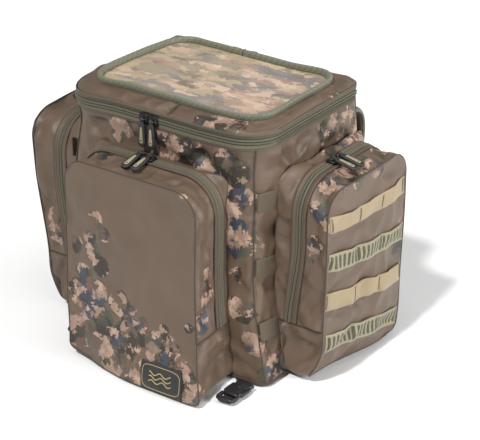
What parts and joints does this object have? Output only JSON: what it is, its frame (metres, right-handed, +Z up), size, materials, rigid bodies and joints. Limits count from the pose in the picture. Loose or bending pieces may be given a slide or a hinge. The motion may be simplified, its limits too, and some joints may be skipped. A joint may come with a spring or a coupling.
{
  "type": "tackle backpack",
  "caption": "Box-shaped fishing backpack with a zipped lid and tray, fold-down front and side pockets, load webbing, shoulder straps and buckled base straps.",
  "frame": {"origin": "on the ground under the middle of the main compartment, at the underside of its base panel", "axes": "+X to the right as seen from the front, -Y towards the front pocket, +Z up"},
  "size_m": [0.46, 0.3538, 0.351],
  "materials": {
    "brown_fabric": "taupe coated oxford weave, slight sheen",
    "camo_fabric": "taupe coated oxford weave with a printed leaf camouflage",
    "dark_fabric": "dark brown coated weave and air mesh",
    "binding": "ribbed olive binding tape over a plastic welt",
    "coated_print": "camouflage print under a clear glossy coating",
    "zip_tape": "olive grey zip tape with a nylon coil",
    "zip_metal": "black lacquered metal",
    "pull_rubber": "moulded black rubber with a gold ribbed inlay",
    "tan_webbing": "khaki tan webbing",
    "olive_webbing": "pale olive webbing with dark olive bars",
    "black_webbing": "black webbing",
    "black_plastic": "moulded black acetal",
    "board": "black polyethylene board",
    "badge": "woven dark label with a plain emblem"
  },
  "bodies": {
    "bag": {"main_compartment": "camo_fabric", "base_panel": "dark_fabric", "base_board": "board", "back_pad": "dark_fabric", "lid_hinge_strip": "brown_fabric", "lid_zip_lower": "zip_tape", "front_pocket_gusset": "brown_fabric", "front_zip_inner": "zip_tape", "badge": "badge", "right_pocket_gusset": "brown_fabric", "right_zip_inner": "zip_tape", "right_foot_webbing": "olive_webbing", "left_pocket_gusset": "brown_fabric", "left_zip_inner": "zip_tape", "left_foot_webbing": "olive_webbing", "right_corner_loops": "tan_webbing", "left_corner_loops": "tan_webbing", "right_shoulder_strap": "brown_fabric", "left_shoulder_strap": "brown_fabric", "right_ladder_lock": "black_plastic", "left_ladder_lock": "black_plastic", "right_lower_webbing": "black_webbing", "left_lower_webbing": "black_webbing", "right_base_strap": "black_webbing", "left_base_strap": "black_webbing", "right_buckle_socket": "black_plastic", "left_buckle_socket": "black_plastic"},
    "lid": {"lid_shell": "brown_fabric", "tray_rim": "binding", "tray_sheet": "coated_print", "lid_zip_upper": "zip_tape"},
    "front_flap": {"front_flap": "camo_fabric", "front_zip_outer": "zip_tape"},
    "right_flap": {"right_flap": "brown_fabric", "right_zip_outer": "zip_tape", "right_plain_webbing": "tan_webbing", "right_ribbed_webbing": "olive_webbing"},
    "left_flap": {"left_flap": "brown_fabric", "left_zip_outer": "zip_tape", "left_plain_webbing": "tan_webbing", "left_ribbed_webbing": "olive_webbing"},
    "grab_handle": {"grab_handle": "black_webbing"},
    "right_buckle_tongue": {"right_buckle_tongue": "black_plastic"},
    "left_buckle_tongue": {"left_buckle_tongue": "black_plastic"},
    "lid_slider_1": {"lid_slider_1": "zip_metal"},
    "lid_pull_1": {"lid_pull_1": "pull_rubber"},
    "lid_slider_2": {"lid_slider_2": "zip_metal"},
    "lid_pull_2": {"lid_pull_2": "pull_rubber"},
    "front_slider_1": {"front_slider_1": "zip_metal"},
    "front_pull_1": {"front_pull_1": "pull_rubber"},
    "front_slider_2": {"front_slider_2": "zip_metal"},
    "front_pull_2": {"front_pull_2": "pull_rubber"},
    "right_slider_1": {"right_slider_1": "zip_metal"},
    "right_pull_1": {"right_pull_1": "pull_rubber"},
    "right_slider_2": {"right_slider_2": "zip_metal"},
    "right_pull_2": {"right_pull_2": "pull_rubber"},
    "left_slider_1": {"left_slider_1": "zip_metal"},
    "left_pull_1": {"left_pull_1": "pull_rubber"},
    "left_slider_2": {"left_slider_2": "zip_metal"},
    "left_pull_2": {"left_pull_2": "pull_rubber"}
  },
  "joints": [
    {"name": "lid_open", "type": "hinge", "parent": "bag", "child": "lid", "pos_m": [0, 0.114, 0.328], "axis": [-1, 0, 0], "range_deg": [0, 100]},
    {"name": "front_flap_fold", "type": "hinge", "parent": "bag", "child": "front_flap", "pos_m": [0, -0.187, 0.08], "axis": [1, 0, 0], "range_deg": [0, 100]},
    {"name": "right_flap_fold", "type": "hinge", "parent": "bag", "child": "right_flap", "pos_m": [0.227, 0.018, 0.079], "axis": [0, 1, 0], "range_deg": [0, 100]},
    {"name": "left_flap_fold", "type": "hinge", "parent": "bag", "child": "left_flap", "pos_m": [-0.227, 0.018, 0.079], "axis": [0, -1, 0], "range_deg": [0, 100]},
    {"name": "lid_slider_1_slide", "type": "slide", "parent": "bag", "child": "lid_slider_1", "axis": [1, 0, 0], "range_m": [-0.06775, 0]},
    {"name": "lid_pull_1_swing", "type": "hinge", "parent": "lid_slider_1", "child": "lid_pull_1", "pos_m": [-0.02925, -0.1225, 0.328], "axis": [-1, 0, 0], "range_deg": [-8, 160]},
    {"name": "front_slider_1_slide", "type": "slide", "parent": "bag", "child": "front_slider_1", "axis": [1, 0, 0], "range_m": [-0.04975, 0]},
    {"name": "front_pull_1_swing", "type": "hinge", "parent": "front_slider_1", "child": "front_pull_1", "pos_m": [-0.01525, -0.133, 0.2885], "axis": [-1, 0, 0], "range_deg": [0, 100]},
    {"name": "right_slider_1_slide", "type": "slide", "parent": "bag", "child": "right_slider_1", "axis": [0, 1, 0], "range_m": [-0.03175, 0]},
    {"name": "right_pull_1_swing", "type": "hinge", "parent": "right_slider_1", "child": "right_pull_1", "pos_m": [0.182, 0.00075, 0.2845], "axis": [0, -1, 0], "range_deg": [0, 130]},
    {"name": "left_slider_1_slide", "type": "slide", "parent": "bag", "child": "left_slider_1", "axis": [0, -1, 0], "range_m": [-0.07175, 0]},
    {"name": "left_pull_1_swing", "type": "hinge", "parent": "left_slider_1", "child": "left_pull_1", "pos_m": [-0.182, -0.00475, 0.2845], "axis": [0, 1, 0], "range_deg": [0, 130]},
    {"name": "lid_slider_2_slide", "type": "slide", "parent": "bag", "child": "lid_slider_2", "axis": [1, 0, 0], "range_m": [0, 0.11175]},
    {"name": "lid_pull_2_swing", "type": "hinge", "parent": "lid_slider_2", "child": "lid_pull_2", "pos_m": [-0.01475, -0.1225, 0.328], "axis": [-1, 0, 0], "range_deg": [-8, 160]},
    {"name": "front_slider_2_slide", "type": "slide", "parent": "bag", "child": "front_slider_2", "axis": [1, 0, 0], "range_m": [0, 0.06575]},
    {"name": "front_pull_2_swing", "type": "hinge", "parent": "front_slider_2", "child": "front_pull_2", "pos_m": [-0.00075, -0.133, 0.2885], "axis": [-1, 0, 0], "range_deg": [0, 100]},
    {"name": "right_slider_2_slide", "type": "slide", "parent": "bag", "child": "right_slider_2", "axis": [0, 1, 0], "range_m": [0, 0.05175]},
    {"name": "right_pull_2_swing", "type": "hinge", "parent": "right_slider_2", "child": "right_pull_2", "pos_m": [0.182, 0.01525, 0.2845], "axis": [0, -1, 0], "range_deg": [0, 130]},
    {"name": "left_slider_2_slide", "type": "slide", "parent": "bag", "child": "left_slider_2", "axis": [0, -1, 0], "range_m": [0, 0.01175]},
    {"name": "left_pull_2_swing", "type": "hinge", "parent": "left_slider_2", "child": "left_pull_2", "pos_m": [-0.182, -0.01925, 0.2845], "axis": [0, 1, 0], "range_deg": [0, 130]},
    {"name": "grab_handle_swing", "type": "hinge", "parent": "bag", "child": "grab_handle", "pos_m": [0, 0.117, 0.316], "axis": [1, 0, 0], "range_deg": [0, 90]},
    {"name": "right_buckle_release", "type": "slide", "parent": "bag", "child": "right_buckle_tongue", "axis": [0, -1, 0], "range_m": [0, 0.03]},
    {"name": "left_buckle_release", "type": "slide", "parent": "bag", "child": "left_buckle_tongue", "axis": [0, -1, 0], "range_m": [0, 0.03]}
  ]
}
